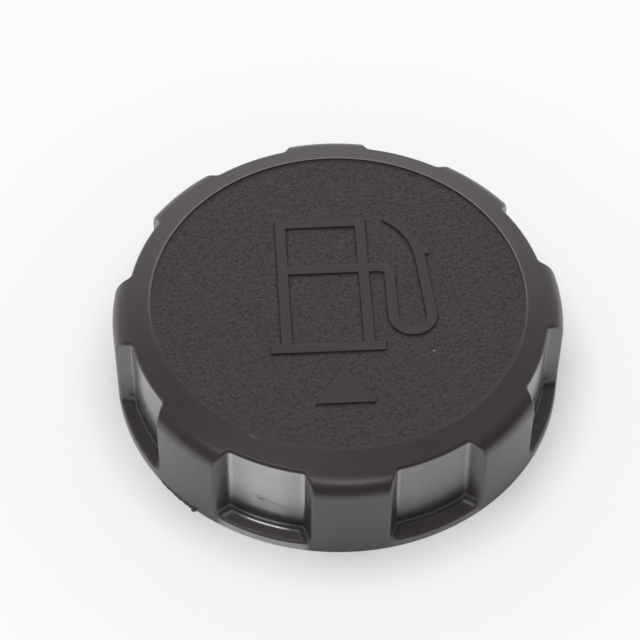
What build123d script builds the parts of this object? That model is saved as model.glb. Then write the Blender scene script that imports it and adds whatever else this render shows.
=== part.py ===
from build123d import *
import os
from math import cos, radians, sin, tan

os.makedirs("parts", exist_ok=True)

# Fits between neighbouring pieces
running_gap = 0.3
seat_gap = 0.05
slip_fit = 0.1
touch_tolerance = 0.001

# Filler neck side of the closure: bore over the neck's thread, gasket and top plate
neck_bore = 28.6
bore_length = 10.0
bore_lead_in = 0.8
skirt_wall = 2.6
foot_gap = 1.2
gasket_thickness = 2.5
gasket_width = 6.1
gasket_undercut = 0.3
gasket_lip_wall = 0.6
plate_thickness = 2.4

# Ratchet between the shell and the closure
tooth_count = 24
tooth_height = 1.6
flange_step = 1.4
ratchet_height = 3.7
flange_rim_wall = 1.8
pawl_count = 4
pawl_thickness = 1.2
pawl_clearance = 0.4
pawl_flex_room = 1.3
pawl_arm_angle = 40.0
pawl_nose_angle = 12.0
pawl_engagement = 1.1
pawl_face_gap = 0.35
ring_wall = 1.8
ring_lug_width = 10.0

# Retaining ring below the ratchet
retainer_thickness = 1.8
retainer_hold = 0.8
retainer_split_angle = 14.0
groove_depth = 0.6

# Vent chamber and its two valves
chamber_radius = 10.4
chamber_wall = 1.6
chamber_floor_lift = 0.4
chamber_floor_thickness = 1.2
orifice_radius = 3.4
seat_bead_width = 0.8
seat_bead_height = 0.3
seat_bead_offset = 0.5
seal_thickness = 0.9
seal_bore = 2.1
seal_margin = 0.6
valve_plate_radius = 7.2
valve_plate_thickness = 1.0
valve_ear_count = 4
valve_ear_width = 2.6
stem_radius = 0.8
stem_hole_radius = 1.9
vacuum_disc_radius = 3.0
vacuum_disc_thickness = 0.8
vacuum_spring_length = 1.8
vacuum_spring_radius = 2.45
vacuum_wire = 0.35
vacuum_turns = 3.5
clip_radius = 3.1
clip_thickness = 0.5
stem_tip = 0.2
pressure_spring_length = 3.6
pressure_spring_radius = 5.7
pressure_wire = 0.7
pressure_turns = 3.5
chords_per_turn = 14
wire_sides = 6
spring_collar_wall = 0.6
spring_collar_height = 0.5
cover_thickness = 0.8
cover_ledge = 0.8
cover_hole_radius = 1.0
cover_hole_count = 6
filter_width = 7.0
filter_thickness = 2.4

# Moulded outer shell
head_room = 0.6
top_wall = 2.4
shell_wall = 2.3
disc_depth = 0.5
band_width = 7.7
band_slope = 17.5
shoulder_radius = 4.0
rim_edge_radius = 0.6
thrust_rib_wall = 1.6
stiffener_width = 1.4
stiffener_clearance = 0.5

# Grip pockets around the shell, the flat lands between them and the hollow behind each land
pocket_count = 8
pocket_depth = 3.0
pocket_floor_angle = 10.6
pocket_mouth_angle = 12.85
pocket_mouth_overrun = 1.7
pocket_corner_radius = 2.0
pocket_floor_fillet = 1.2
pocket_lip_height = 2.0
pocket_ledge_slope = 15.0
pocket_edge_bevel = 0.35
land_core_width = 12.0
land_core_corner = 1.2

# Raised pump figure on the disc and the plain raised triangle below it
relief_height = 0.45
figure_line = 2.05
pump_left = -11.6
pump_right = 6.45
pump_top = 20.3
pump_foot = -13.4
pump_sill = 7.25
pump_base_overhang = 2.1
hose_column = 10.5
hose_elbow = 1.9
hose_low = -5.25
hose_loop_radius = 3.76
hose_lean = 4.4
nozzle_heel = (18.8, 10.3)
nozzle_back = (18.8, 11.1)
nozzle_back_mid = (15.2, 16.1)
nozzle_tip_top = (10.4, 20.4)
nozzle_tip_low = (9.95, 19.5)
nozzle_front_mid = (14.5, 14.3)
nozzle_front = (15.72, 9.4)
triangle_base = -25.8
triangle_apex = -17.0
triangle_width = 11.4

# Radii that follow, from the neck outwards
skirt_radius = neck_bore + skirt_wall
tooth_root = skirt_radius + flange_step
tooth_tip = tooth_root + tooth_height
pawl_inner = tooth_tip + pawl_clearance
pawl_outer = pawl_inner + pawl_thickness
ring_inner = pawl_outer + pawl_flex_room
ring_outer = ring_inner + ring_wall
cavity_radius = ring_outer + running_gap
pocket_floor_radius = cavity_radius + shell_wall
body_radius = pocket_floor_radius + pocket_depth
disc_radius = body_radius - band_width
land_core_radius = body_radius - shell_wall
groove_radius = cavity_radius + groove_depth
thrust_rib_radius = chamber_radius + chamber_wall + filter_width + 2 * running_gap

# Heights that follow, from the foot upwards
bore_top = foot_gap + bore_length
gasket_low = bore_top + 2 * slip_fit
plate_low = gasket_low + gasket_thickness
plate_top = plate_low + plate_thickness
ratchet_top = plate_low + ratchet_height
chamber_floor_low = bore_top + chamber_floor_lift
chamber_floor_top = chamber_floor_low + chamber_floor_thickness
seat_top = chamber_floor_top + seat_bead_height
seal_low = seat_top + seat_gap
valve_low = seal_low + seal_thickness
valve_top = valve_low + valve_plate_thickness
clip_low = valve_top + vacuum_spring_length
clip_top = clip_low + clip_thickness
cover_low = valve_top + pressure_spring_length
cover_top = cover_low + cover_thickness
underside = cover_top + head_room
disc_height = underside + top_wall
rim_height = disc_height + disc_depth
shoulder_height = rim_height - band_width * tan(radians(band_slope))
retainer_top = plate_low - running_gap
retainer_low = retainer_top - retainer_thickness
ring_low = retainer_top + running_gap
ring_top = ratchet_top - running_gap
land_core_height = ratchet_top + running_gap

pitch_angle = 360 / pocket_count
first_land = -90
first_pocket = first_land + pitch_angle / 2
tooth_pitch = 360 / tooth_count


def polar(radius, angle):
    """Point at a radius and an angle in degrees about the cap's axis."""
    return Vector(radius * cos(radians(angle)), radius * sin(radians(angle)))


def block(r_low, r_high, z_low, z_high, mode=Mode.ADD):
    """Rectangle of a half section, from one radius and height to another."""
    with Locations((r_low, z_low)):
        Rectangle(r_high - r_low, z_high - z_low, align=(Align.MIN, Align.MIN), mode=mode)


def bar(x_low, x_high, y_low, y_high):
    """Straight bar of the raised figure."""
    with Locations((x_low, y_low)):
        Rectangle(x_high - x_low, y_high - y_low, align=(Align.MIN, Align.MIN))


def lies_on(faces, point):
    """True where a point is on one of the faces."""
    return min(face.distance_to(point) for face in faces) < touch_tolerance


# One grip pocket as a cutting solid: an arc for its floor, slanted sides and a tilted ledge at its foot
with BuildPart() as pocket_tool:
    with BuildSketch():
        with BuildLine():
            pocket_floor = CenterArc((0, 0), pocket_floor_radius, -pocket_floor_angle, 2 * pocket_floor_angle)
            floor_end = polar(pocket_floor_radius, pocket_floor_angle)
            mouth_end = floor_end + (polar(body_radius, pocket_mouth_angle) - floor_end) * pocket_mouth_overrun
            mouth_start = Vector(mouth_end.X, -mouth_end.Y)
            Polyline(pocket_floor @ 1, mouth_end, mouth_start, pocket_floor @ 0)
        make_face()
    extrude(amount=rim_height + head_room)
    ledge = Plane(
        origin=(body_radius, 0, pocket_lip_height),
        z_dir=(sin(radians(pocket_ledge_slope)), 0, cos(radians(pocket_ledge_slope))),
    )
    split(bisect_by=ledge, keep=Keep.TOP)
    pocket_foot = pocket_tool.faces().sort_by(Axis.Z)[0]
    fillet(pocket_foot.edges().filter_by(GeomType.LINE).sort_by(Axis.X)[:2], pocket_corner_radius)
    floor_face = pocket_tool.faces().filter_by(GeomType.CYLINDER).sort_by(Axis.X)[0]
    fillet(floor_face.edges().sort_by(Axis.Z)[:-1], pocket_floor_fillet)

# Outer shell: turned blank with a sunk disc inside a sloping rim band, then the pockets
with BuildPart() as outer_shell:
    with BuildSketch(Plane.XZ):
        with BuildLine():
            Polyline(
                (0, 0),
                (body_radius, 0),
                (body_radius, shoulder_height),
                (disc_radius, rim_height),
                (disc_radius, disc_height),
                (0, disc_height),
                close=True,
            )
        outline = make_face()
        fillet(outline.vertices().group_by(Axis.X)[-1].sort_by(Axis.Y)[-1], shoulder_radius)
        fillet(outline.vertices().sort_by(Axis.Y)[-1], rim_edge_radius)
    revolve(axis=Axis.Z)
    blank_skin = outer_shell.faces()
    with PolarLocations(0, pocket_count, start_angle=first_pocket):
        add(pocket_tool.part, mode=Mode.SUBTRACT)
    pocket_faces = [f for f in outer_shell.faces() if not lies_on(blank_skin, f.position_at(0.5, 0.5))]
    pocket_rims = [e for f in pocket_faces for e in f.edges() if lies_on(blank_skin, e @ 0.5)]
    chamfer(pocket_rims, pocket_edge_bevel)

    # Raised pump figure: frame, window sill, base, the hose loop and its nozzle, then the triangle
    with BuildSketch(Plane.XY.offset(disc_height)):
        bar(pump_left, pump_left + figure_line, pump_foot, pump_top)
        bar(pump_right - figure_line, pump_right, pump_foot, pump_top)
        bar(pump_left, pump_right, pump_top - figure_line, pump_top)
        bar(pump_left, pump_right, pump_sill - figure_line / 2, pump_sill + figure_line / 2)
        bar(pump_left - pump_base_overhang, pump_right + pump_base_overhang, pump_foot, pump_foot + figure_line)
        with BuildLine():
            outlet = Line((pump_right - figure_line / 2, pump_sill), (hose_column - hose_elbow, pump_sill))
            elbow = JernArc(outlet @ 1, outlet % 1, hose_elbow, -90)
            drop = Line(elbow @ 1, (hose_column, hose_low))
            loop = JernArc(drop @ 1, drop % 1, hose_loop_radius, 180 + hose_lean)
            rise_height = nozzle_heel[1] - (loop @ 1).Y
            PolarLine(loop @ 1, rise_height / cos(radians(hose_lean)), direction=loop % 1)
        trace(line_width=figure_line)
        with BuildLine():
            ThreePointArc(nozzle_front, nozzle_front_mid, nozzle_tip_low)
            Line(nozzle_tip_low, nozzle_tip_top)
            ThreePointArc(nozzle_tip_top, nozzle_back_mid, nozzle_back)
            Polyline(nozzle_back, nozzle_heel, (nozzle_front[0] + figure_line / 2, nozzle_heel[1]), nozzle_front)
        make_face()
        Polygon(
            (-triangle_width / 2, triangle_base),
            (triangle_width / 2, triangle_base),
            (0, triangle_apex),
            align=None,
        )
    extrude(amount=relief_height)

    # Hollow inside: round cavity, a core behind each land and the retaining ring's groove
    with BuildSketch():
        Circle(cavity_radius)
    extrude(amount=underside, mode=Mode.SUBTRACT)
    with BuildSketch() as land_cores:
        with PolarLocations(0, pocket_count, start_angle=first_land):
            with Locations((land_core_radius, 0)):
                Rectangle(2 * pocket_depth + shell_wall, land_core_width, align=(Align.MAX, Align.CENTER))
        fillet(land_cores.vertices(), land_core_corner)
    extrude(amount=land_core_height, mode=Mode.SUBTRACT)
    with BuildSketch(Plane.XY.offset(retainer_low - slip_fit)):
        Circle(groove_radius)
    extrude(amount=retainer_thickness + 2 * slip_fit, mode=Mode.SUBTRACT)

    # Under the disc: a thrust rib over the closure's plate and stiffeners out to the wall
    with BuildSketch(Plane.XY.offset(plate_top + running_gap)):
        Circle(thrust_rib_radius + thrust_rib_wall)
        Circle(thrust_rib_radius, mode=Mode.SUBTRACT)
    extrude(amount=underside - plate_top - running_gap)
    with BuildSketch(Plane.XY.offset(ratchet_top + stiffener_clearance)):
        with PolarLocations(0, pocket_count, start_angle=first_land):
            with Locations((thrust_rib_radius + thrust_rib_wall / 2, 0)):
                Rectangle(
                    cavity_radius - thrust_rib_radius,
                    stiffener_width,
                    align=(Align.MIN, Align.CENTER),
                )
    extrude(amount=underside - ratchet_top - stiffener_clearance)
outer_shell.part.label = "outer_shell"
export_step(outer_shell.part, "parts/outer_shell.step")

# Threaded closure: skirt round the neck, plate over it, ratchet flange and the vent chamber
with BuildPart() as threaded_closure:
    with BuildSketch(Plane.XZ):
        block(neck_bore, skirt_radius, foot_gap, plate_low)
        block(0, tooth_root, plate_low, plate_top)
        block(tooth_root - flange_rim_wall, tooth_root, plate_low, ratchet_top)
        block(chamber_radius, chamber_radius + chamber_wall, chamber_floor_low, cover_top)
        block(0, chamber_radius, chamber_floor_top, cover_top, mode=Mode.SUBTRACT)
        block(orifice_radius, chamber_radius + chamber_wall, chamber_floor_low, chamber_floor_top)
        bead_low = orifice_radius + seat_bead_offset
        block(bead_low, bead_low + seat_bead_width, chamber_floor_top, seat_top)
        block(neck_bore, neck_bore + gasket_undercut, bore_top, plate_low, mode=Mode.SUBTRACT)
        gasket_inner = neck_bore - gasket_width
        lip_outer = gasket_inner - slip_fit
        block(lip_outer - gasket_lip_wall, lip_outer, gasket_low + slip_fit, plate_low)
        block(chamber_radius, chamber_radius + cover_ledge, cover_low, cover_top, mode=Mode.SUBTRACT)
    revolve(axis=Axis.Z)
    with BuildSketch(Plane.XY.offset(plate_low)):
        with BuildLine():
            crown = []
            for tooth in range(tooth_count):
                crown.append(polar(tooth_root, tooth * tooth_pitch))
                crown.append(polar(tooth_tip, tooth * tooth_pitch))
            Polyline(*crown, close=True)
        make_face()
        Circle(tooth_root - flange_rim_wall / 2, mode=Mode.SUBTRACT)
    extrude(amount=ratchet_height)
    mouth = threaded_closure.edges().filter_by(GeomType.CIRCLE).group_by(Axis.Z)[0].sort_by(SortBy.RADIUS)[0]
    chamfer(mouth, bore_lead_in)
threaded_closure.part.label = "threaded_closure"
export_step(threaded_closure.part, "parts/threaded_closure.step")

# Flat gasket that the neck's rim presses on
with BuildPart() as neck_gasket:
    with BuildSketch(Plane.XY.offset(gasket_low)):
        Circle(neck_bore + gasket_undercut - slip_fit)
        Circle(neck_bore - gasket_width, mode=Mode.SUBTRACT)
    extrude(amount=gasket_thickness)
neck_gasket.part.label = "neck_gasket"
export_step(neck_gasket.part, "parts/neck_gasket.step")

# Drive ring: lugs keyed into the hollow lands, spring pawls that push on the closure's teeth
with BuildPart() as drive_ring:
    with BuildSketch(Plane.XY.offset(ring_low)):
        Circle(ring_outer)
        Circle(ring_inner, mode=Mode.SUBTRACT)
        with PolarLocations(0, pocket_count, start_angle=first_land):
            with Locations((land_core_radius - running_gap, 0)):
                lug_length = land_core_radius - running_gap - ring_inner - ring_wall / 2
                Rectangle(lug_length, ring_lug_width, align=(Align.MAX, Align.CENTER))
        nose_low = tooth_tip - pawl_engagement
        for pawl in range(pawl_count):
            tip_angle = pawl * 360 / pawl_count - pawl_face_gap
            bend_angle = tip_angle - pawl_nose_angle
            root_angle = bend_angle - pawl_arm_angle
            anchor_angle = root_angle - pawl_nose_angle
            with BuildLine():
                inside = CenterArc((0, 0), pawl_inner, root_angle, pawl_arm_angle)
                outside = CenterArc((0, 0), pawl_outer, root_angle, pawl_arm_angle)
                Polyline(
                    inside @ 1,
                    polar(nose_low, tip_angle),
                    polar(nose_low + pawl_thickness, tip_angle),
                    outside @ 1,
                )
                Polyline(
                    outside @ 0,
                    polar(ring_inner + ring_wall / 2, root_angle),
                    polar(ring_inner + ring_wall / 2, anchor_angle),
                    inside @ 0,
                )
            make_face()
    extrude(amount=ring_top - ring_low)
drive_ring.part.label = "drive_ring"
export_step(drive_ring.part, "parts/drive_ring.step")

# Split ring that snaps into the shell's groove and holds the closure's flange up
with BuildPart() as retaining_ring:
    with BuildSketch(Plane.XY.offset(retainer_low)):
        Circle(groove_radius - slip_fit)
        Circle(tooth_root - retainer_hold, mode=Mode.SUBTRACT)
        split_width = 2 * groove_radius * sin(radians(retainer_split_angle / 2))
        with Locations((0, groove_radius)):
            Rectangle(split_width, groove_radius, mode=Mode.SUBTRACT)
    extrude(amount=retainer_thickness)
retaining_ring.part.label = "retaining_ring"
export_step(retaining_ring.part, "parts/retaining_ring.step")

# Pressure valve: plate with guide ears, a collar for its spring and a hole for the vacuum valve's stem
with BuildPart() as pressure_valve:
    with BuildSketch(Plane.XY.offset(valve_low)):
        Circle(valve_plate_radius)
        with PolarLocations(0, valve_ear_count):
            ear_length = chamber_radius - running_gap
            Rectangle(ear_length, valve_ear_width, align=(Align.MIN, Align.CENTER))
        Circle(stem_hole_radius, mode=Mode.SUBTRACT)
    extrude(amount=valve_plate_thickness)
    with BuildSketch(Plane.XY.offset(valve_top)):
        collar_radius = pressure_spring_radius - pressure_wire / 2 - running_gap
        Circle(collar_radius)
        Circle(collar_radius - spring_collar_wall, mode=Mode.SUBTRACT)
    extrude(amount=spring_collar_height)
pressure_valve.part.label = "pressure_valve"
export_step(pressure_valve.part, "parts/pressure_valve.step")

# Soft seal under the plate, resting on the chamber's seat
with BuildPart() as valve_seal:
    with BuildSketch(Plane.XY.offset(seal_low)):
        Circle(valve_plate_radius - seal_margin)
        Circle(seal_bore, mode=Mode.SUBTRACT)
    extrude(amount=seal_thickness)
valve_seal.part.label = "valve_seal"
export_step(valve_seal.part, "parts/valve_seal.step")

# Vacuum valve: a disc drawn up against the seal by its stem
with BuildPart() as vacuum_valve:
    with BuildSketch(Plane.XY.offset(seal_low - seat_gap - vacuum_disc_thickness)):
        Circle(vacuum_disc_radius)
    extrude(amount=vacuum_disc_thickness)
    with BuildSketch(Plane.XY.offset(seal_low - seat_gap)):
        Circle(stem_radius)
    extrude(amount=clip_top + stem_tip - seal_low + seat_gap)
vacuum_valve.part.label = "vacuum_valve"
export_step(vacuum_valve.part, "parts/vacuum_valve.step")

# Clip on the stem, the upper seat of the vacuum valve's spring
with BuildPart() as stem_clip:
    with BuildSketch(Plane.XY.offset(clip_low)):
        Circle(clip_radius)
        Circle(stem_radius + seat_gap, mode=Mode.SUBTRACT)
    extrude(amount=clip_thickness)
stem_clip.part.label = "stem_clip"
export_step(stem_clip.part, "parts/stem_clip.step")


def coil_spring(radius, wire, turns, low, length):
    """Wire wound in short chords between two seats, a little clear of both."""
    rise = length - wire - 2 * seat_gap
    coil_low = low + seat_gap + wire / 2
    chords = round(turns * chords_per_turn)
    with BuildPart() as spring:
        with BuildLine() as coil:
            points = []
            for chord in range(chords + 1):
                point = polar(radius, 360 * turns * chord / chords)
                points.append((point.X, point.Y, coil_low + rise * chord / chords))
            Polyline(*points)
        with BuildSketch(Plane(origin=coil.line @ 0, z_dir=coil.line % 0)):
            RegularPolygon(wire / 2, wire_sides)
        sweep(path=coil.line, transition=Transition.RIGHT)
    return spring.part


pressure_spring = coil_spring(
    pressure_spring_radius, pressure_wire, pressure_turns, valve_top, pressure_spring_length
)
pressure_spring.label = "pressure_spring"
export_step(pressure_spring, "parts/pressure_spring.step")

vacuum_spring = coil_spring(
    vacuum_spring_radius, vacuum_wire, vacuum_turns, valve_top, vacuum_spring_length
)
vacuum_spring.label = "vacuum_spring"
export_step(vacuum_spring, "parts/vacuum_spring.step")

# Cover on the chamber, the upper seat of the pressure spring, with a ring of vent holes
with BuildPart() as vent_cover:
    with BuildSketch(Plane.XY.offset(cover_low)):
        Circle(chamber_radius + cover_ledge - slip_fit)
        hole_circle = (pressure_spring_radius + pressure_wire / 2 + chamber_radius) / 2
        with PolarLocations(hole_circle, cover_hole_count):
            Circle(cover_hole_radius, mode=Mode.SUBTRACT)
    extrude(amount=cover_thickness)
    with BuildSketch(Plane.XY.offset(cover_low)):
        Circle(collar_radius)
        Circle(collar_radius - spring_collar_wall, mode=Mode.SUBTRACT)
    extrude(amount=-spring_collar_height)
vent_cover.part.label = "vent_cover"
export_step(vent_cover.part, "parts/vent_cover.step")

# Foam ring round the chamber that keeps dust out of the vent
with BuildPart() as vent_filter:
    with BuildSketch(Plane.XY.offset(plate_top + seat_gap)):
        filter_inner = chamber_radius + chamber_wall + slip_fit
        Circle(filter_inner + filter_width)
        Circle(filter_inner, mode=Mode.SUBTRACT)
    extrude(amount=filter_thickness)
vent_filter.part.label = "vent_filter"
export_step(vent_filter.part, "parts/vent_filter.step")
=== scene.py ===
# %% [markdown]
# # A black fuel filler cap, dressed around its solids
#
# The solids already have the cap's real size and every piece that turns or slides. This lesson adds
# what makes it look real: the moulded grain, the satin and glossy parts of one black plastic, the
# thread, the wound springs, the sliver where the mould leaked, and then the light and the camera.
# We load the solids first and never move them.

# %% Load the solids
from math import cos, pi, radians, sin, tan
from random import Random

import bpy
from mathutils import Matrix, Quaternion, Vector


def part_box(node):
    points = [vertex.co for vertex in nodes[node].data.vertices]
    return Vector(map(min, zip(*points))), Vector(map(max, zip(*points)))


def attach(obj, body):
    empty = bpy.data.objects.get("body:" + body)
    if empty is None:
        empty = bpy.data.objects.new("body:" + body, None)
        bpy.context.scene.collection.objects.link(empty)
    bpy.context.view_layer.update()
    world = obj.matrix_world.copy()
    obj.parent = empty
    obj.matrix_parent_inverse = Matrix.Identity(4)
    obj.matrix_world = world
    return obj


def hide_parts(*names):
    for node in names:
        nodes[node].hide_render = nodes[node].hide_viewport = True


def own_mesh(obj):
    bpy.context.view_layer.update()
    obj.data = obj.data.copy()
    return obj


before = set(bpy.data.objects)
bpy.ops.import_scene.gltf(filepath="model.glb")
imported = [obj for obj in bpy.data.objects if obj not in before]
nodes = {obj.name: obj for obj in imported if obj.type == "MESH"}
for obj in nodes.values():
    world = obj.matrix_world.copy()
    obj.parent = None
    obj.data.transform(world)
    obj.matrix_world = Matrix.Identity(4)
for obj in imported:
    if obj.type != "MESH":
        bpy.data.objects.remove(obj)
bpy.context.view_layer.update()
MM = 0.001
shell_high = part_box("outer_shell")[1]
rim_height = shell_high.z / MM
body_radius = shell_high.x / MM
print("solids:", len(nodes), "cap radius", round(body_radius, 2), "height", round(rim_height, 2), "mm")

# %% [markdown]
# ## A small language for finishes
#
# Finishes are built from shader nodes. Wiring them by hand hides the idea behind a long list of links,
# so one small class wraps a socket and lets us write `1 - mask` or `radius * 2`. Each expression adds
# its Math nodes. Every other node comes from one method, `add`, which sets the node's options first and
# then its sockets.


# %% Sockets that can be added and multiplied
class Flow:
    """The value on one socket, which arithmetic turns into Math nodes."""

    def __init__(self, tree, socket):
        self.tree = tree
        self.socket = socket

    def maths(self, operation, *values):
        """One Math node."""
        return self.tree.add("ShaderNodeMath", {"operation": operation}, dict(enumerate(values)))

    def __add__(self, other):
        return self.maths("ADD", self, other)

    def __sub__(self, other):
        return self.maths("SUBTRACT", self, other)

    def __rsub__(self, other):
        return self.maths("SUBTRACT", other, self)

    def __mul__(self, other):
        return self.maths("MULTIPLY", self, other)

    def __pow__(self, power):
        return self.maths("POWER", self, power)

    __radd__ = __add__
    __rmul__ = __mul__


print("sockets take part in sums")


# %% A tree of nodes
class Tree:
    """A node tree with one way of adding a node."""

    def __init__(self, node_tree):
        self.nodes = node_tree.nodes
        self.links = node_tree.links

    def add(self, kind, options=None, inputs=None, output=0):
        """Add a node, set its options, feed its sockets and give one of its outputs."""
        node = self.nodes.new(kind)
        for name, value in (options or {}).items():
            setattr(node, name, value)
        for name, value in (inputs or {}).items():
            self.feed(node.inputs[name], value)
        return Flow(self, node.outputs[output])

    def feed(self, socket, value):
        """Link a flow to a socket, or set the socket to a fixed value."""
        if isinstance(value, Flow):
            self.links.new(value.socket, socket)
        else:
            socket.default_value = value

    def parts(self, vector):
        """The three values of a place or a direction."""
        return [self.add("ShaderNodeSeparateXYZ", None, {"Vector": vector}, output=axis) for axis in "XYZ"]

    def point(self, x, y, z):
        """A place made of three values."""
        return self.add("ShaderNodeCombineXYZ", None, {"X": x, "Y": y, "Z": z})

    def ramp(self, value, low, high):
        """0 below low, 1 above high and smooth between them."""
        span = {"Value": value, "From Min": low, "From Max": high}
        return self.add("ShaderNodeMapRange", {"interpolation_type": "SMOOTHSTEP"}, span)

    def within(self, value, low, high, soft):
        """1 between two limits, with soft edges."""
        return self.ramp(value, low - soft, low + soft) * (1 - self.ramp(value, high - soft, high + soft))

    def blend(self, factor, first, second):
        """Colour that goes from the first to the second: a Mix node has its colours on sockets 6 and 7."""
        colours = {"Factor": factor, 6: first, 7: second}
        return self.add("ShaderNodeMix", {"data_type": "RGBA"}, colours, output=2)


print("every node comes from add")


# %% A finish, measured in millimetres
class Finish(Tree):
    """A material whose patterns are measured in millimetres on the piece itself."""

    edge_samples = 6

    def __init__(self, name, **constants):
        self.material = bpy.data.materials.new(name)
        self.material.use_nodes = True
        super().__init__(self.material.node_tree)
        self.shader = self.nodes["Principled BSDF"]
        self.set(**constants)
        place = self.add("ShaderNodeTexCoord", output="Object")
        self.place = self.add("ShaderNodeVectorMath", {"operation": "SCALE"}, {0: place, "Scale": 1 / MM})
        self.x, self.y, self.z = self.parts(self.place)

    def set(self, **sockets):
        """Feed sockets of the surface shader, named with _ for a space."""
        for socket, value in sockets.items():
            self.feed(self.shader.inputs[socket.replace("_", " ")], value)

    def from_axis(self, x=0, y=0):
        """Distance from an upright line."""
        return ((self.x - x) ** 2 + (self.y - y) ** 2) ** 0.5

    def about_axis(self):
        """Angle about the cap's axis, in radians."""
        return self.add("ShaderNodeMath", {"operation": "ARCTAN2"}, {0: self.y, 1: self.x})

    def noise(self, size, detail, roughness=0.5, place=None):
        """Soft random pattern with lumps of about one size."""
        inputs = {"Vector": place or self.place, "Scale": 1 / size, "Detail": detail, "Roughness": roughness}
        return self.add("ShaderNodeTexNoise", None, inputs)

    def cells(self, size, place=None):
        """Distances from the middles of cells of about one size."""
        inputs = {"Vector": place or self.place, "Scale": 1 / size}
        return self.add("ShaderNodeTexVoronoi", {"feature": "F1"}, inputs)

    def bump(self, height, depth, strength, edge=None):
        """Surface normal of a pattern of some depth, with the piece's edges rounded over a width."""
        inputs = {"Height": height, "Distance": depth * MM, "Strength": strength}
        if edge is not None:
            samples = {"samples": self.edge_samples}
            inputs["Normal"] = self.add("ShaderNodeBevel", samples, {"Radius": edge * MM})
        return self.add("ShaderNodeBump", None, inputs)


print("finishes are measured in millimetres")

# %% [markdown]
# ## One black plastic, four surfaces
#
# The shell is a single moulding, but its tool had different surfaces: the sunk disc was etched with a
# leather grain, the sloping band and the lands between the pockets are satin, the top of the raised
# figure is a little duller, and the pockets were polished so that the part would leave the tool. One
# material with masks says this better than four, because it is one plastic. The masks come from the
# place on the cap: the distance and the angle about the axis, and the height below the band's slope.

# %% Places on the shell, in millimetres and degrees
disc_radius = 36.8
disc_depth = 0.5
disc_height = rim_height - disc_depth
band_slope = radians(17.5)
pocket_wall = 41.5
pocket_pitch = 45
pocket_floor_angle = 10.6
pocket_mouth_angle = 12.85
wall_end = pocket_pitch / 2 - pocket_floor_angle
mouth_end = pocket_pitch / 2 - pocket_mouth_angle
lip_height = 2.0
print("disc at", round(disc_height, 2), "mm, pockets end", round(wall_end, 2), "degrees from a land's middle")

# %% Edges of the masks
# A pair is where a mask starts to rise and where it is full. A triple is its two limits and their softness.
under_band = (0.35, 0.75)
wall_begins = (pocket_wall - 1.2, pocket_wall - 0.8)
wall_is_past = (pocket_wall + 0.5, pocket_wall + 1.1)
wall_across = (wall_end - 0.3, wall_end + 0.3)
foot_fades = (3.2, 14.0)
mouth_corner = (mouth_end, mouth_end + 0.4)
wall_end_strip = (wall_end + 0.1, wall_end + 1.1, 0.3)
mid_wall_rises = (wall_end + 3, wall_end + 8)
lip_begins = (body_radius - 0.4, body_radius - 0.1)
lip_is_past = (lip_height - 0.1, lip_height + 0.3)
lip_across = (mouth_end, mouth_end + 1.5)
disc_is_past = (disc_radius - 0.3, disc_radius)
top_begins = (disc_height - 0.6, disc_height - 0.4)
inner_rim_radii = (disc_radius - 0.1, disc_radius + 0.45, 0.12)
inner_rim_begins = (disc_height - 1, disc_height)
print("masks of the pockets begin", round(wall_begins[0], 1), "mm from the axis")


# %% Masks of the shell's surfaces
class CapPlaces:
    """Masks of the shell's surfaces, from the distance and angle about the axis and the height."""

    def __init__(self, finish):
        ramp, z = finish.ramp, finish.z
        self.radius = finish.from_axis()
        self.angle = finish.about_axis() * (180 / pi)
        # Ten whole pitches make every angle positive, which the fold from land to pocket needs.
        self.off_land = self.angle.maths("PINGPONG", self.angle + 10 * pocket_pitch, pocket_pitch / 2)
        band = rim_height - (self.radius - disc_radius) * tan(band_slope)
        below_band = ramp(band - z, *under_band)
        behind = ramp(self.radius, *wall_begins)
        before = 1 - ramp(self.radius, *wall_is_past)
        across = ramp(self.off_land, *wall_across)
        off_foot = ramp(z, *foot_fades)
        self.wall = behind * before * below_band * across * off_foot
        self.foot = behind * before * across * (1 - off_foot)
        self.sides = behind * below_band * (1 - across) * ramp(self.off_land, *mouth_corner) * off_foot
        self.wall_ends = finish.within(self.off_land, *wall_end_strip)
        self.mid_wall = ramp(self.off_land, *mid_wall_rises)
        outer = ramp(self.radius, *lip_begins)
        self.lip = outer * (1 - ramp(z, *lip_is_past)) * ramp(self.off_land, *lip_across)
        self.top = (1 - ramp(self.radius, *disc_is_past)) * ramp(z, *top_begins)
        self.inner_rim = finish.within(self.radius, *inner_rim_radii) * ramp(z, *inner_rim_begins)


spot_core = 0.4


def spot(finish, x, y, size):
    """Round mark on the top of the cap, with a solid core."""
    return 1 - finish.ramp(finish.from_axis(x, y), spot_core * size, size)


print("one mask for each surface")

# %% [markdown]
# Wear is small on this cap. Thumbs polished one front pocket and left scuffs low in it, dust lies in the
# other, and the rim has a nick on its inner edge and a ding on its band. It could be painted on the mesh,
# but a mask at its own place needs no picture and stays there from every side. The scuffs are noise that
# is stretched along one scratch.

# %% Where the wear is
polished_pocket = (-124, -101, 1.5)
scratch_angle, scratch_height, scratch_fall = -115.6, 10.2, 0.17
scuffed_angles = (-115.8, -107.0, 1.0)
scuffed_width = (-0.6, 0.6, 0.4)
scuffed_radii = (40.5, 42.3, 0.2)
scuffs_begin = (5, 7)
streak_along, streak_across = 0.26, 2.2
streak_cut = (0.46, 0.64)
dusty_pocket = (-77.5, -70.5, 1.8)
speck_spacing = 1.5
speck_edge = (0.10, 0.16)
nick_angles = (-120.0, -117.5, 0.3)
nick_radii = (37.15, 37.5, 0.15)
ding_radius, ding_angle, ding_size = 40.8, radians(-100.8), 0.35
ding_strength = 0.5
marks_begin = (disc_height - 2, disc_height - 1.8)


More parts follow.
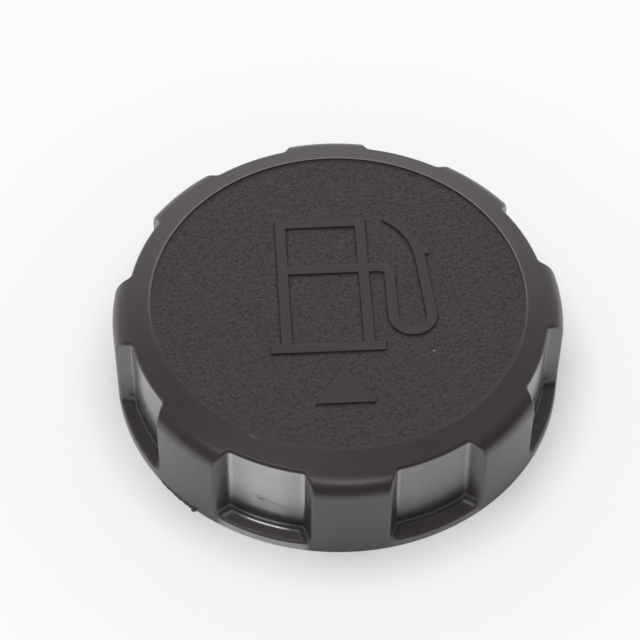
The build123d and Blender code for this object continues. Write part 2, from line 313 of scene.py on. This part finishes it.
def cap_wear(finish, places):
    """Masks of the scuffs, the dust, the specks in it and the worn marks."""
    angle, radius, z = places.angle, places.radius, finish.z
    off_scratch = z - scratch_height + (angle - scratch_angle) * scratch_fall
    scuffed = finish.within(angle, *scuffed_angles) * finish.within(off_scratch, *scuffed_width)
    scuffed = scuffed * finish.ramp(z, *scuffs_begin) * finish.within(radius, *scuffed_radii)
    stretched = finish.point(angle * streak_along, radius, off_scratch * streak_across)
    streaks = finish.noise(size=0.7, detail=6, roughness=0.8, place=stretched)
    scuffs = finish.ramp(streaks, *streak_cut) * scuffed
    dust = finish.within(angle, *dusty_pocket) * places.wall
    unrolled = finish.point(angle * (pi / 180 * pocket_wall), radius, z)
    specks = (1 - finish.ramp(finish.cells(speck_spacing, unrolled), *speck_edge)) * dust
    nick = finish.within(angle, *nick_angles) * finish.within(radius, *nick_radii)
    ding = spot(finish, ding_radius * cos(ding_angle), ding_radius * sin(ding_angle), ding_size)
    marks = (nick + ding * ding_strength) * finish.ramp(z, *marks_begin)
    return scuffs, dust, specks, marks


print("wear in the pockets at", polished_pocket[:2], "and", dusty_pocket[:2], "degrees")

# %% [markdown]
# The finish puts the masks together. Colour is nearly the same all over, so what tells the surfaces apart
# is gloss: a clear coat stands for the tool's polish, strongest in the pocket that thumbs rubbed. A Bevel
# node rounds the edges in the shading alone, because a moulded edge is never sharp and its thin light
# line is what the eye looks for.

# %% Colours and strengths of the shell's finish
cap_black = (0.045, 0.033, 0.0395, 1)
cap_shade = (0.040, 0.030, 0.036, 1)
# Dark for real scuffs and dust specks, and also for painted shade at the pocket foot and in the grain.
scuff_and_shade_black = (0.012, 0.011, 0.011, 1)
worn_grey = (0.11, 0.105, 0.105, 1)
dust_grey = (0.13, 0.108, 0.09, 1)
moulded_ior, polish_ior, polish_roughness = 1.75, 4.0, 0.15
# The foot strength is painted shade on the pocket's lower wall; the scuff, speck and mark strengths are real
# wear.
foot_painted_shade, scuff_shade, speck_shade, mark_shade = 0.75, 0.85, 0.7, 0.8
dust_even, dust_smeared = 0.3, 0.5
wall_gloss, wall_end_gloss, rubbed_gloss, rubbed_mid_gloss = 0.26, 0.2, 0.42, 0.2
side_gloss, foot_gloss = 0.14, 0.45
lip_gloss, rubbed_lip_gloss, inner_rim_gloss = 0.12, 0.6, 0.25
gloss_even, gloss_smeared = 0.8, 0.4
satin, smear_dulls, top_dulls = 0.31, 0.08, 0.12
wall_smooths, scuffs_dull, specks_dull = 0.12, 0.35, 0.3
skin_peel, wall_flattens, smear_peel, scuff_dent, speck_dent = 0.5, 0.42, 0.5, 0.6, 0.5
edge_width, top_edge_less, rim_edge_less = 0.45, 0.15, 0.38
print("satin roughness", satin, "and pocket gloss", wall_gloss, "to", round(wall_gloss + rubbed_gloss, 2))


# %% The shell's finish
def cap_gloss(places, polished):
    """Weight of the polish on each surface."""
    rubbed_wall = polished * (rubbed_gloss + places.mid_wall * rubbed_mid_gloss)
    gloss = places.wall * (wall_gloss + places.wall_ends * wall_end_gloss + rubbed_wall)
    gloss = gloss + places.sides * (1 - polished) * side_gloss
    gloss = gloss + places.foot * polished * places.mid_wall * foot_gloss
    return gloss + places.lip * (lip_gloss + polished * rubbed_lip_gloss) + places.inner_rim * inner_rim_gloss


def make_cap_finish():
    finish = Finish("cap_plastic", IOR=moulded_ior, Coat_IOR=polish_ior, Coat_Roughness=polish_roughness)
    places = CapPlaces(finish)
    polished = finish.within(places.angle, *polished_pocket)
    scuffs, dust, specks, marks = cap_wear(finish, places)
    mottle = finish.noise(size=14, detail=3)
    smear = finish.noise(size=4.5, detail=4, roughness=0.6)
    grain = finish.noise(size=0.22, detail=2)
    colour = finish.blend(mottle, cap_black, cap_shade)
    # Painted shade: the pocket's foot and lower wall are darkened towards black.
    colour = finish.blend(places.foot * foot_painted_shade, colour, scuff_and_shade_black)
    colour = finish.blend(dust * (dust_even + smear * dust_smeared), colour, dust_grey)
    colour = finish.blend(scuffs * scuff_shade + specks * speck_shade, colour, scuff_and_shade_black)
    colour = finish.blend(marks * mark_shade, colour, worn_grey)
    roughness = satin + smear * smear_dulls + places.top * top_dulls - places.wall * wall_smooths
    peel = grain * (skin_peel - places.wall * wall_flattens) + smear * smear_peel
    peel = peel - scuffs * scuff_dent - specks * speck_dent
    edge = edge_width - places.top * top_edge_less - places.inner_rim * rim_edge_less
    finish.set(
        Base_Color=colour,
        Roughness=roughness + scuffs * scuffs_dull + specks * specks_dull,
        Coat_Weight=cap_gloss(places, polished) * (1 - scuffs) * (gloss_even + smear * gloss_smeared),
        Normal=finish.bump(peel, depth=0.02, strength=0.35, edge=edge),
    )
    return finish.material


cap_plastic = make_cap_finish()
nodes["outer_shell"].material_slots[0].material = cap_plastic
print("shell finished with", cap_plastic.name)

# %% [markdown]
# ## The leather grain as real relief
#
# The disc's grain is less than a millimetre wide, yet it catches the light from a step away, and it
# should hold up close. A bump map would vanish at the edge and in the exported mesh. We therefore take a
# fine grid, cut it to the disc, and push it up and down with two Displace modifiers: cells for the
# pebbles and clouds for the unevenness. The raised figure pokes through the skin, and the skin's cut edge
# ends inside the rim, where it never shows.


# %% Helpers for modelling
def start(add, name, **options):
    """Add one primitive with nothing else selected, and name it."""
    bpy.ops.object.select_all(action="DESELECT")
    add(**options)
    piece = bpy.context.object
    piece.name = piece.data.name = name
    bpy.ops.object.transform_apply(location=True, rotation=True, scale=True)
    return piece


def edit(piece, select=None):
    """Go into edit mode with the vertices selected that pass a test."""
    bpy.ops.object.mode_set(mode="EDIT")
    bpy.ops.mesh.select_mode(type="VERT")
    bpy.ops.mesh.select_all(action="DESELECT")
    bpy.ops.object.mode_set(mode="OBJECT")
    for vertex in piece.data.vertices:
        vertex.select = select is None or select(vertex.co)
    bpy.ops.object.mode_set(mode="EDIT")


def leave():
    """Go back to object mode."""
    bpy.ops.object.mode_set(mode="OBJECT")


def modify(piece, kind, **options):
    """Add a modifier, set it and apply it."""
    modifier = piece.modifiers.new(kind.title(), kind)
    for name, value in options.items():
        setattr(modifier, name, value)
    bpy.ops.object.modifier_apply(modifier=modifier.name)


print("modelling helpers ready")


# %% Helpers for finishing a piece
def select_open_edges():
    """Select the edges that bound one face only."""
    bpy.ops.mesh.select_all(action="DESELECT")
    bpy.ops.mesh.select_mode(type="EDGE")
    bpy.ops.mesh.select_non_manifold()


def close_up(piece):
    """Merge doubles, fill open ends and turn the faces outwards."""
    edit(piece)
    bpy.ops.mesh.select_all(action="SELECT")
    bpy.ops.mesh.remove_doubles(threshold=0.001 * MM)
    select_open_edges()
    bpy.ops.mesh.fill_holes(sides=0)
    bpy.ops.mesh.select_all(action="SELECT")
    bpy.ops.mesh.normals_make_consistent(inside=False)
    leave()


def hand_over(piece, body, material):
    """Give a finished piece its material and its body."""
    piece.data.materials.clear()
    piece.data.materials.append(material)
    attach(piece, body)
    piece.data.calc_loop_triangles()
    print(piece.name, "rides on", body, "with", len(piece.data.loop_triangles), "triangles")


print("finishing helpers ready")

# %% Grained skin of the disc
skin_margin = 0.35
skin_radius = disc_radius + skin_margin
skin_lift = 0.11
skin_steps = 330
grain_fade = 0.5
disc_skin = start(
    bpy.ops.mesh.primitive_grid_add,
    "disc_grain",
    x_subdivisions=skin_steps,
    y_subdivisions=skin_steps,
    size=2 * skin_radius * MM,
    location=(0, 0, (disc_height + skin_lift) * MM),
)
edit(disc_skin, lambda place: place.xy.length > skin_radius * MM)
bpy.ops.mesh.delete(type="VERT")
bpy.ops.mesh.select_all(action="SELECT")
bpy.ops.mesh.delete_loose()
leave()
grained = disc_skin.vertex_groups.new(name="grained")
for vertex in disc_skin.data.vertices:
    from_rim = (disc_radius - vertex.co.xy.length / MM) / grain_fade
    grained.add([vertex.index], max(0, min(1, from_rim)), "REPLACE")
print("skin cut to", len(disc_skin.data.vertices), "points")

# %% Pebbles and unevenness
pebble_size, pebble_rise = 0.68, 0.095
lump_size, lump_rise = 0.48, 0.072
pebbles = bpy.data.textures.new("pebbles", "VORONOI")
pebbles.noise_scale = pebble_size * MM
pebbles.noise_intensity = 3
pebbles.weight_1, pebbles.weight_2 = -1, 1
unevenness = bpy.data.textures.new("unevenness", "CLOUDS")
unevenness.noise_scale = lump_size * MM
unevenness.noise_depth = 1
for texture, height in ((pebbles, pebble_rise), (unevenness, lump_rise)):
    modify(
        disc_skin,
        "DISPLACE",
        texture=texture,
        texture_coords="LOCAL",
        direction="Z",
        mid_level=0.5,
        strength=height * MM,
        vertex_group="grained",
    )
bpy.ops.object.shade_smooth()
heights = sorted(vertex.co.z / MM - disc_height for vertex in disc_skin.data.vertices)
print("grain from", round(heights[0], 3), "to", round(heights[-1], 3), "mm above the disc")

# %% [markdown]
# A skin without thickness has no inside, so its border is pulled down into the rim and closed below. The
# finish then follows the relief: creases get painted shade and are duller than the pebbles, and the nooks
# along the figure get painted shade too. An Ambient Occlusion node finds those, because it sees what
# stands close by.

# %% Underside of the skin
skin_drop = 0.3
crease_share, pebble_share = 0.1, 0.6
crease_height = disc_height + heights[int(crease_share * len(heights))]
pebble_height = disc_height + heights[int(pebble_share * len(heights))]
edit(disc_skin)
select_open_edges()
bpy.ops.mesh.extrude_edges_move(TRANSFORM_OT_translate={"value": (0, 0, -skin_drop * MM)})
bpy.ops.mesh.edge_face_add()
leave()
print("creases up to", round(crease_height, 3), "mm, pebbles from", round(pebble_height, 3), "mm")

# %% The grain's finish
speck_grey = (0.4, 0.39, 0.38, 1)
disc_speck = (17.7, -14.0, 0.3)
nook_reach, nook_samples = 0.9, 8
nook_opens = (0.6, 0.96)
nooks_end = (disc_radius - 1.2, disc_radius - 0.5)
# The crease and nook strengths are painted shade; the speck is a real mark.
crease_painted_shade, nook_painted_shade, disc_speck_shade = 0.7, 0.9, 0.7
grain_satin, patch_dulls, crease_dulls, nook_dulls, disc_speck_shines = 0.37, 0.1, 0.25, 0.3, 0.15


def make_grain_finish():
    finish = Finish("grained_plastic", IOR=moulded_ior)
    fine = finish.noise(size=0.25, detail=2)
    patches = finish.noise(size=9, detail=3)
    speck = spot(finish, *disc_speck)
    creases = 1 - finish.ramp(finish.z, crease_height, pebble_height)
    around = {"Distance": nook_reach * MM}
    open_to_light = finish.add("ShaderNodeAmbientOcclusion", {"samples": nook_samples}, around, output="AO")
    inside = 1 - finish.ramp(finish.from_axis(), *nooks_end)
    nooks = (1 - finish.ramp(open_to_light, *nook_opens)) * inside
    colour = finish.blend(patches, cap_black, cap_shade)
    # Painted shade in the grain's creases.
    colour = finish.blend(creases * crease_painted_shade, colour, scuff_and_shade_black)
    # Painted shade where the Ambient Occlusion node finds something close by, as along the figure.
    colour = finish.blend(nooks * nook_painted_shade, colour, scuff_and_shade_black)
    roughness = grain_satin + patches * patch_dulls + creases * crease_dulls
    finish.set(
        Base_Color=finish.blend(speck * disc_speck_shade, colour, speck_grey),
        Roughness=roughness + nooks * nook_dulls - speck * disc_speck_shines,
        Normal=finish.bump(fine, depth=0.03, strength=0.4),
    )
    return finish.material


hand_over(disc_skin, "shell", make_grain_finish())

# %% [markdown]
# ## Wound pieces: thread, flash and springs
#
# Three things on this cap are a small section carried about the axis. The closure's thread is a ridge
# that climbs the bore, the springs are round wire, and the flash is a thin sliver of plastic that leaked
# at the foot of the tool. The Screw modifier makes all of them from a closed loop of points. One helper
# does that, and each piece then gets what makes it its own: run-out ends, ragged edges or nothing.


# %% A section wound about the axis
def wind(name, section, first_angle, turns, rise, steps):
    """Carry a closed section, given as radius and height in millimetres, about the cap's axis."""
    piece = start(bpy.ops.mesh.primitive_circle_add, name, vertices=len(section), radius=MM)
    aim = Vector((cos(radians(first_angle)), sin(radians(first_angle)), 0))
    for vertex, (radius, height) in zip(piece.data.vertices, section):
        vertex.co = (aim * radius + Vector((0, 0, height))) * MM
    modify(
        piece,
        "SCREW",
        angle=2 * pi * turns,
        screw_offset=rise * MM,
        steps=steps,
        render_steps=steps,
        use_smooth_shade=True,
    )
    return piece


def shape(piece, section, steps, change):
    """Move each point by a rule for its share of the way and its place in millimetres."""
    for vertex in piece.data.vertices:
        share = vertex.index // len(section) / steps
        vertex.co = change(share, vertex.co / MM) * MM


def smooth_below(angle):
    """Shade smoothly over edges that turn less than an angle in degrees."""
    bpy.ops.object.shade_smooth_by_angle(angle=radians(angle))


print("winding ready")

# %% [markdown]
# The thread starts and ends by sinking into the wall, as a moulded thread does, because a blunt end would
# catch the neck. The ridge's foot is buried in the bore, so no gap shows.

# %% Thread in the closure's bore
thread_foot, thread_crest = 28.9, 27.2
half_foot, half_crest = 1.0, 0.35
thread_pitch, thread_turns, thread_steps = 4.5, 1.46, 140
thread_angle, thread_first = 20, 3.1
run_out, run_out_rest = 0.05, 0.1
ridge = [
    (thread_foot, thread_first - half_foot),
    (thread_crest, thread_first - half_crest),
    (thread_crest, thread_first + half_crest),
    (thread_foot, thread_first + half_foot),
]


def sink_ends(share, place):
    """Let the ridge sink into the wall at both ends."""
    out = min(1, run_out_rest + min(share, 1 - share) / run_out)
    radius = thread_foot - (thread_foot - place.xy.length) * out
    return Vector((*(place.xy.normalized() * radius), place.z))


thread_rise = thread_pitch * thread_turns
closure_thread = wind("closure_thread", ridge, thread_angle, thread_turns, thread_rise, thread_steps)
shape(closure_thread, ridge, thread_steps, sink_ends)
close_up(closure_thread)
smooth_below(40)
print("thread climbs", round(thread_rise, 2), "mm in", thread_turns, "turns")

# %% [markdown]
# The flash runs along the foot on the front left, grows to the right and ends in a nub. Its edge is torn,
# so its height and thickness are drawn at random at each step, from a fixed seed.

# %% Moulding flash at the foot
flash_first, flash_last, flash_steps = -144.7, -131.0, 64
flash_turns = (flash_last - flash_first) / 360
flash_root = body_radius - 0.15
flash_reach, flash_edge_reach = body_radius + 0.42, body_radius + 0.35
flash_foot, flash_edge, flash_height = 0.02, 0.22, 1.05
sliver = [
    (flash_root, flash_foot),
    (flash_reach, flash_foot),
    (flash_edge_reach, flash_edge),
    (flash_root, flash_height),
]
tear = Random(11)
torn = [tear.uniform(0.7, 1.15) for step in range(flash_steps + 1)]
nub_at, nub_width, nub_reach = 0.93, 0.07, 1.5
fade_in, fade_out, fade_rest = 0.08, 0.03, 0.05
height_at_left, height_gain = 0.35, 0.55
reach_at_left, reach_gain = 0.5, 0.35


def tear_edge(share, place):
    """Thin and low at the left, taller to the right, with a round nub at the end."""
    ragged = torn[round(share * flash_steps)]
    nub = 0.5 + 0.5 * cos(pi * min(1, abs(share - nub_at) / nub_width))
    fade = min(1, share / fade_in, (1 - share) / fade_out + fade_rest)
    tall = (height_at_left + height_gain * share) * ragged * (1 - nub) + nub
    thick = (reach_at_left + reach_gain * share) * ragged * (1 - nub) + nub_reach * nub
    radius = flash_root + (place.xy.length - flash_root) * thick * fade
    return Vector((*(place.xy.normalized() * radius), place.z * tall * fade))


moulding_flash = wind("moulding_flash", sliver, flash_first, flash_turns, 0, flash_steps)
shape(moulding_flash, sliver, flash_steps, tear_edge)
close_up(moulding_flash)
smooth_below(50)
hand_over(moulding_flash, "shell", cap_plastic)

# %% [markdown]
# The solids draw each spring with short straight chords. Here the wire is round and the coil is smooth,
# at the same radius, length and number of turns. A spring shortens when its valve moves, and each wound
# spring gets a mesh of its own.

# %% Springs
wire_points, steps_a_turn = 12, 40


def wind_spring(name, radius, wire, turns, low, rise):
    """Round wire wound from its lowest turn upwards."""
    angles = [2 * pi * point / wire_points for point in range(wire_points)]
    section = [(radius + wire / 2 * cos(angle), low + wire / 2 * sin(angle)) for angle in angles]
    spring = wind(name, section, 0, turns, rise, round(turns * steps_a_turn))
    close_up(spring)
    smooth_below(60)
    return spring


pressure_coil = wind_spring("pressure_coil", radius=5.7, wire=0.7, turns=3.5, low=15.45, rise=2.8)
vacuum_coil = wind_spring("vacuum_coil", radius=2.45, wire=0.35, turns=3.5, low=15.275, rise=1.35)
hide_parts("pressure_spring")
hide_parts("vacuum_spring")
print("springs wound:", pressure_coil.name, vacuum_coil.name)

# %% [markdown]
# ## Finishes of the inner pieces
#
# Inside are five materials. The closure, its ring and the vent cover are black plastic with flow marks
# and a little dust. The pawls and valves are undyed plastic, which turns ivory. The gaskets are matt
# rubber, polished where the neck's rim presses. The springs are drawn steel, and the filter is open foam.
# Pictures could give these, but noise and cells need no unwrapping and stay sharp up close.

# %% Black and undyed plastic
plastic_ior = 1.5
inner_dark, inner_pale = (0.045, 0.044, 0.046, 1), (0.058, 0.056, 0.058, 1)
inner_dust_grey = (0.22, 0.21, 0.19, 1)
ivory, ivory_deep = (0.80, 0.78, 0.71, 1), (0.74, 0.71, 0.63, 1)
burnt_speck = (0.3, 0.27, 0.22, 1)
inner_dust_cut, burnt_speck_edge = (0.55, 0.75), (0.06, 0.1)
inner_dust_shade, burnt_speck_shade = 0.1, 0.4
inner_satin, inner_flow_dulls, inner_dust_dulls = 0.4, 0.14, 0.1
ivory_satin, ivory_flow_dulls = 0.34, 0.16


def make_inner_finish():
    finish = Finish("inner_black", IOR=plastic_ior)
    flow = finish.noise(size=8, detail=4, roughness=0.6)
    dust = finish.ramp(finish.noise(size=2.5, detail=5, roughness=0.7), *inner_dust_cut)
    colour = finish.blend(flow, inner_dark, inner_pale)
    skin = finish.noise(size=0.25, detail=2)
    finish.set(
        Base_Color=finish.blend(dust * inner_dust_shade, colour, inner_dust_grey),
        Roughness=inner_satin + flow * inner_flow_dulls + dust * inner_dust_dulls,
        Normal=finish.bump(skin, depth=0.03, strength=0.4, edge=0.25),
    )
    return finish.material


def make_natural_finish():
    finish = Finish("undyed_plastic", IOR=plastic_ior)
    flow = finish.noise(size=5, detail=4, roughness=0.6)
    specks = 1 - finish.ramp(finish.cells(2.2), *burnt_speck_edge)
    colour = finish.blend(flow, ivory, ivory_deep)
    skin = finish.noise(size=0.3, detail=2)
    finish.set(
        Base_Color=finish.blend(specks * burnt_speck_shade, colour, burnt_speck),
        Roughness=ivory_satin + flow * ivory_flow_dulls,
        Normal=finish.bump(skin, depth=0.02, strength=0.4, edge=0.25),
    )
    return finish.material


inner_black = make_inner_finish()
undyed_plastic = make_natural_finish()
print("plastics:", inner_black.name, undyed_plastic.name)

# %% Rubber
rubber_ior = 1.5
rubber_black, rubber_bloom = (0.026, 0.026, 0.027, 1), (0.07, 0.07, 0.072, 1)
pressed_black = (0.018, 0.018, 0.018, 1)
neck_rim_radii, valve_seat_radii = (26.6, 28.2, 0.15), (3.9, 4.7, 0.1)
bloom_cut = (0.45, 0.75)
bloom_shade, pressed_shade, pressed_dent = 0.5, 0.6, 0.6
rubber_matt, bloom_dulls, pressing_smooths = 0.78, 0.12, 0.3


def make_rubber_finish():
    finish = Finish("matt_rubber", IOR=rubber_ior)
    radius = finish.from_axis()
    pressed = finish.within(radius, *neck_rim_radii) + finish.within(radius, *valve_seat_radii)
    bloom = finish.ramp(finish.noise(size=3, detail=5, roughness=0.65), *bloom_cut)
    colour = finish.blend(bloom * bloom_shade, rubber_black, rubber_bloom)
    skin = finish.noise(size=0.18, detail=3) - pressed * pressed_dent
    finish.set(
        Base_Color=finish.blend(pressed * pressed_shade, colour, pressed_black),
        Roughness=rubber_matt + bloom * bloom_dulls - pressed * pressing_smooths,
        Normal=finish.bump(skin, depth=0.05, strength=0.4),
    )
    return finish.material


matt_rubber = make_rubber_finish()
print("rubber:", matt_rubber.name)

# %% Steel and foam
steel_light, steel_deep = (0.66, 0.65, 0.64, 1), (0.55, 0.545, 0.54, 1)
steel_stain = (0.4, 0.36, 0.31, 1)
lines_across, lines_along = 12, 2
stain_cut = (0.5, 0.75)
stain_shade = 0.5
steel_polish, lines_dull, stain_dulls = 0.22, 0.14, 0.12
foam_ior, foam_matt = 1.45, 0.95
# The pores are darkened as painted shade in their depth.
foam_grey, foam_deep, pore_shadow_black = (0.13, 0.13, 0.14, 1), (0.10, 0.10, 0.11, 1), (0.012, 0.012, 0.013, 1)
pore_size, pore_edge, pore_painted_shade = 0.85, (0.2, 0.5), 0.85


def make_steel_finish():
    finish = Finish("drawn_steel", Metallic=1.0)
    radius, angle = finish.from_axis(), finish.about_axis()
    along = finish.point(radius * lines_across, angle * lines_along, finish.z * lines_across)
    drawn = finish.noise(size=1, detail=3, place=along)
    stain = finish.ramp(finish.noise(size=1.2, detail=4, roughness=0.6), *stain_cut)
    colour = finish.blend(drawn, steel_light, steel_deep)
    finish.set(
        Base_Color=finish.blend(stain * stain_shade, colour, steel_stain),
        Roughness=steel_polish + drawn * lines_dull + stain * stain_dulls,
        Normal=finish.bump(drawn, depth=0.01, strength=0.4),
    )
    return finish.material


def make_foam_finish():
    finish = Finish("open_foam", IOR=foam_ior, Roughness=foam_matt)
    walls = finish.ramp(finish.cells(pore_size), *pore_edge)
    colour = finish.blend(finish.noise(size=4, detail=3), foam_grey, foam_deep)
    finish.set(
        # Painted shade inside the pores.
        Base_Color=finish.blend((1 - walls) * pore_painted_shade, colour, pore_shadow_black),
        Normal=finish.bump(walls, depth=0.35, strength=0.8),
    )
    return finish.material


drawn_steel = make_steel_finish()
open_foam = make_foam_finish()
print("steel and foam:", drawn_steel.name, open_foam.name)

# %% [markdown]
# Each solid has one material slot, so a finish goes on by putting it there. The wound pieces get theirs
# with their bodies: the thread turns with the closure, and each spring rides on the body that carries its
# still end.

# %% Finishes go on the solids and the wound pieces
finishes = {
    inner_black: ("threaded_closure", "retaining_ring", "vent_cover"),
    undyed_plastic: ("drive_ring", "pressure_valve", "vacuum_valve"),
    matt_rubber: ("neck_gasket", "valve_seal"),
    drawn_steel: ("stem_clip", "pressure_spring", "vacuum_spring"),
    open_foam: ("vent_filter",),
}
for material, names in finishes.items():
    for name in names:
        nodes[name].material_slots[0].material = material
hand_over(closure_thread, "closure", inner_black)
hand_over(pressure_coil, "closure", drawn_steel)
hand_over(vacuum_coil, "pressure_valve", drawn_steel)
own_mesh(pressure_coil)
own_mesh(vacuum_coil)

# %% [markdown]
# ## Floor, light and camera
#
# The cap stands on a pale surface. More lamps would make it white but would wash out the black plastic,
# so the floor shows the camera some white of its own and keeps the cap's soft shadow near the foot; the
# white grows away from the cap, a painted lightening that narrows that shadow. What the plastic mirrors is
# painted apart from that: a paler floor close by, and a dark glow far in front, as painted reflections.

# %% Floor
floor_size = 6
floor = start(bpy.ops.mesh.primitive_plane_add, "floor", size=floor_size)
floor_pale, floor_paler = (0.87, 0.87, 0.86, 1), (0.92, 0.92, 0.915, 1)
paper_white, mirrored_pale, mirrored_dark = (1, 1, 0.985, 1), (0.45, 0.45, 0.44, 1), (0.15, 0.15, 0.16, 1)
floor_matt, floor_specular = 0.7, 0.15
shade_fades, glow_fades, far_front_begins = (44, 56), (52, 110), (52, 115)
white_at_cap, white_past_shade, white_far = 0.37, 0.37, 0.18


def make_floor_finish():
    finish = Finish("pale_floor", Roughness=floor_matt, Specular_IOR_Level=floor_specular)
    crease = finish.noise(size=25, detail=4, roughness=0.6)
    finish.set(
        Base_Color=finish.blend(finish.noise(size=60, detail=3), floor_pale, floor_paler),
        Normal=finish.bump(crease, depth=0.6, strength=0.15),
    )
    seen = finish.add("ShaderNodeLightPath", output="Is Camera Ray")
    mirrored = finish.add("ShaderNodeLightPath", output="Is Glossy Ray")
    reach = finish.from_axis()
    # The camera sees more white away from the cap: painted lightening that narrows the cap's shadow.
    clear = white_at_cap + finish.ramp(reach, *shade_fades) * white_past_shade
    clear = clear + finish.ramp(reach, *glow_fades) * white_far
    far_front = finish.ramp(finish.y * -1, *far_front_begins)
    white = finish.add("ShaderNodeEmission", None, {"Color": paper_white, "Strength": 1})
    dark = finish.add("ShaderNodeEmission", None, {"Color": mirrored_dark, "Strength": 1})
    lit = Flow(finish, finish.shader.outputs["BSDF"])
    # Glossy rays see the floor paler than it is lit, a painted reflection.
    painted_pale_reflection = finish.add("ShaderNodeBsdfDiffuse", None, {"Color": mirrored_pale})
    paler = finish.add("ShaderNodeAddShader", None, {0: lit, 1: painted_pale_reflection})
    surface = finish.add("ShaderNodeMixShader", None, {0: mirrored, 1: lit, 2: paler})
    surface = finish.add("ShaderNodeMixShader", None, {0: seen * clear, 1: surface, 2: white})
    # Glossy rays far in front see a dark glow, a painted dark reflection.
    surface = finish.add("ShaderNodeMixShader", None, {0: mirrored * far_front, 1: surface, 2: dark})
    finish.feed(finish.nodes["Material Output"].inputs["Surface"], surface)
    return finish.material


floor.data.materials.append(make_floor_finish())
print("floor", tuple(round(side, 2) for side in floor.dimensions))

# %% [markdown]
# Black plastic gets its shape from what it mirrors, so the light is built like a small studio. The sky is
# bright low behind, with a brighter window in it, and dark overhead, apart from a faint glow at the right.
# One lamp stands at the front left, one in front, and a broad one hangs above. The one above isn't
# mirrored: it only lifts the plastic's own colour.

# %% Sky
scene = bpy.context.scene
scene.world = bpy.data.worlds.new("studio")
scene.world.use_nodes = True
sky = Tree(scene.world.node_tree)
sky_tint = (1, 0.99, 0.98, 1)
ceiling_glow, back_glow, left_glow, window_glow, right_glow = 0.09, 0.7, 0.1, 0.42, 0.22
backdrop = 0.98
low_ends, high_begins = (0.5, 0.82), (0.6, 0.85)
back_begins, left_begins, right_begins = (0.05, 0.85), (0.2, 0.9), (0.1, 0.6)
window_back, window_across = (0.67, 0.86, 0.04), (-0.26, 0.26, 0.12)
east, north, up = sky.parts(sky.add("ShaderNodeTexCoord", output="Generated"))
low = 1 - sky.ramp(up, *low_ends)
high = sky.ramp(up, *high_begins)
behind = sky.ramp(north, *back_begins)
leftward = sky.ramp(east * -1, *left_begins)
rightward = sky.ramp(east, *right_begins)
window = sky.within(north, *window_back) * sky.within(east, *window_across)
glow = ceiling_glow + low * (behind * back_glow + leftward * left_glow)
glow = glow + window * window_glow + high * rightward * right_glow
seen = sky.add("ShaderNodeLightPath", output="Is Camera Ray")
background = sky.nodes["Background"]
sky.feed(background.inputs["Strength"], glow * (1 - seen) + seen * backdrop)
sky.feed(background.inputs["Color"], sky_tint)
print("sky brightest low behind the cap")

# %% Lamps
# Place in metres, width in metres, power in watts, and whether surfaces mirror the lamp.
lamps = {
    "key": ((-0.34, -0.30, 0.89), 0.26, 1.0, True),
    "fill": ((-0.08, 0.12, 1.05), 0.9, 5.4, False),
    "front": ((0.06, -0.62, 0.85), 0.36, 1.1, True),
}
for name, (place, size, power, mirrored) in lamps.items():
    bpy.ops.object.light_add(type="AREA", location=place)
    lamp = bpy.context.object
    lamp.name = lamp.data.name = name
    lamp.data.size = size
    lamp.data.energy = power
    lamp.visible_glossy = mirrored
    lamp.rotation_euler = (-Vector(place)).to_track_quat("-Z", "Y").to_euler()
print("lamps:", ", ".join(lamps))

# %% [markdown]
# The cap is seen from the front, about fifty degrees up, through a long lens. The camera was fitted to
# the cap's own circles, so its place, aim, roll and lens belong together.

# %% Camera
camera_place = Vector((-21.846, -290.283, 379.270)) * MM
camera_aim = Vector((-2.732, 12.694, 0)) * MM
camera_roll = radians(0.5385)
camera_lens, camera_sensor = 132.045, 36
bpy.ops.object.camera_add(location=camera_place)
camera = bpy.context.object
camera.data.lens = camera_lens
camera.data.sensor_width = camera_sensor
look = (camera_aim - camera_place).to_track_quat("-Z", "Y")
camera.rotation_euler = (look @ Quaternion((0, 0, 1), camera_roll)).to_euler()
scene.camera = camera
scene.view_settings.view_transform = "Standard"
print("camera", round((camera_aim - camera_place).length / MM), "mm from the cap")
